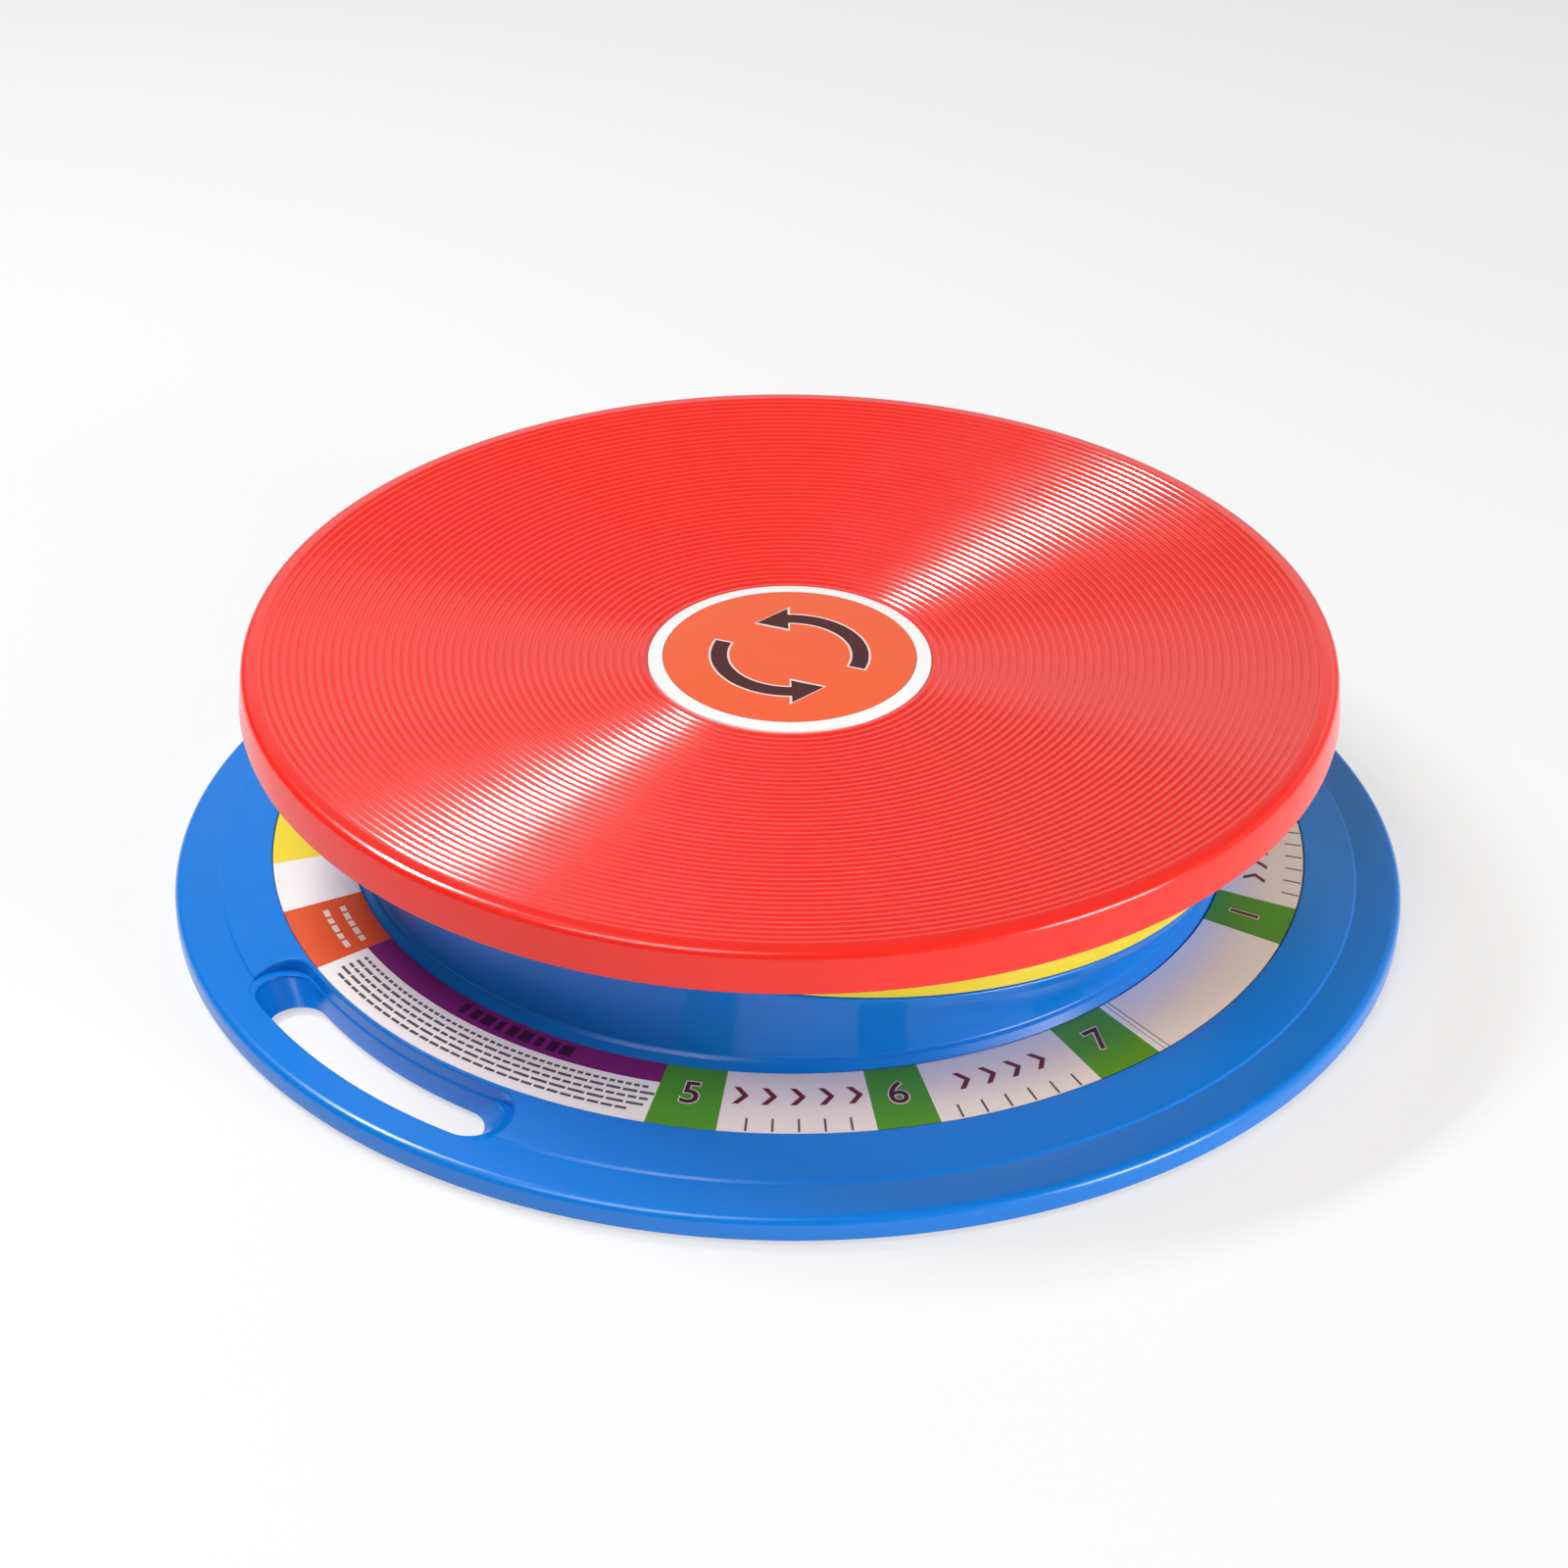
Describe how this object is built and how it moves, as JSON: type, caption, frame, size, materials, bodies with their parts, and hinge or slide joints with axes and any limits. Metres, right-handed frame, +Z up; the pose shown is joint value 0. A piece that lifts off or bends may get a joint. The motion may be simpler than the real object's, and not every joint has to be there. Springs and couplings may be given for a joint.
{
  "type": "spinning balance board",
  "caption": "Round balance toy: a grooved disc spins on a wedge ring, which turns on the slanted drum of a wide base with a hand slot to set the tilt.",
  "frame": {"origin": "middle of the base at floor level, where the rubber feet touch the floor", "axes": "+Z up out of the floor, -Y from the middle of the base towards the hand slot, +X to the right of someone who stands at the hand slot and looks at the board"},
  "size_m": [0.46, 0.46, 0.1065],
  "materials": {
    "base_blue": "moulded blue plastic, glossy",
    "wedge_yellow": "moulded yellow plastic, glossy",
    "disc_red": "moulded red plastic, glossy, with turned grooves",
    "cap_white": "white plastic, glossy",
    "hub_label_orange": "printed and laminated sticker",
    "label_cream": "printed and laminated sticker",
    "rubber_black": "matt black rubber",
    "nylon_natural": "natural nylon",
    "zinc_steel": "zinc-plated steel"
  },
  "bodies": {
    "base": {"base_shell": "base_blue", "bottom_cover": "base_blue", "cover_screw_1": "zinc_steel", "cover_screw_2": "zinc_steel", "cover_screw_3": "zinc_steel", "cover_screw_4": "zinc_steel", "cover_screw_5": "zinc_steel", "cover_screw_6": "zinc_steel", "rubber_foot_1": "rubber_black", "rubber_foot_2": "rubber_black", "rubber_foot_3": "rubber_black", "rubber_foot_4": "rubber_black", "rubber_foot_5": "rubber_black", "rubber_foot_6": "rubber_black", "label_ring": "label_cream", "friction_ring": "rubber_black", "keeper_ring": "zinc_steel", "keeper_screw_1": "zinc_steel", "keeper_screw_2": "zinc_steel", "keeper_screw_3": "zinc_steel", "keeper_screw_4": "zinc_steel"},
    "tilt_ring": {"wedge_ring": "wedge_yellow", "hub_plate": "zinc_steel", "hub_screw_1": "zinc_steel", "hub_screw_2": "zinc_steel", "hub_screw_3": "zinc_steel", "hub_screw_4": "zinc_steel", "lower_race": "zinc_steel", "pivot_bolt": "zinc_steel", "thrust_washer": "nylon_natural", "nut_washer": "zinc_steel", "lock_nut": "zinc_steel"},
    "ball_cage": {"ball_cage": "nylon_natural", "ball_1": "zinc_steel", "ball_2": "zinc_steel", "ball_3": "zinc_steel", "ball_4": "zinc_steel", "ball_5": "zinc_steel", "ball_6": "zinc_steel", "ball_7": "zinc_steel", "ball_8": "zinc_steel", "ball_9": "zinc_steel", "ball_10": "zinc_steel", "ball_11": "zinc_steel", "ball_12": "zinc_steel", "ball_13": "zinc_steel", "ball_14": "zinc_steel", "ball_15": "zinc_steel", "ball_16": "zinc_steel"},
    "disc": {"spinning_disc": "disc_red", "upper_race": "zinc_steel", "hub_bush": "nylon_natural", "hub_cap": "cap_white", "hub_label": "hub_label_orange"}
  },
  "joints": [
    {"name": "tilt_turn", "type": "hinge", "parent": "base", "child": "tilt_ring", "pos_m": [0, 0, 0.058], "axis": [0.0938, 0.0633, 0.9936], "continuous": true},
    {"name": "disc_spin", "type": "hinge", "parent": "tilt_ring", "child": "disc", "pos_m": [0, 0, 0.058], "axis": [0.0273, -0.0283, 0.9992], "continuous": true},
    {"name": "cage_spin", "type": "hinge", "parent": "tilt_ring", "child": "ball_cage", "pos_m": [0, 0, 0.058], "axis": [0.0273, -0.0283, 0.9992], "continuous": true}
  ],
  "couplings": [
    {"joint": "cage_spin", "follows": "disc_spin", "ratio": 0.5}
  ]
}
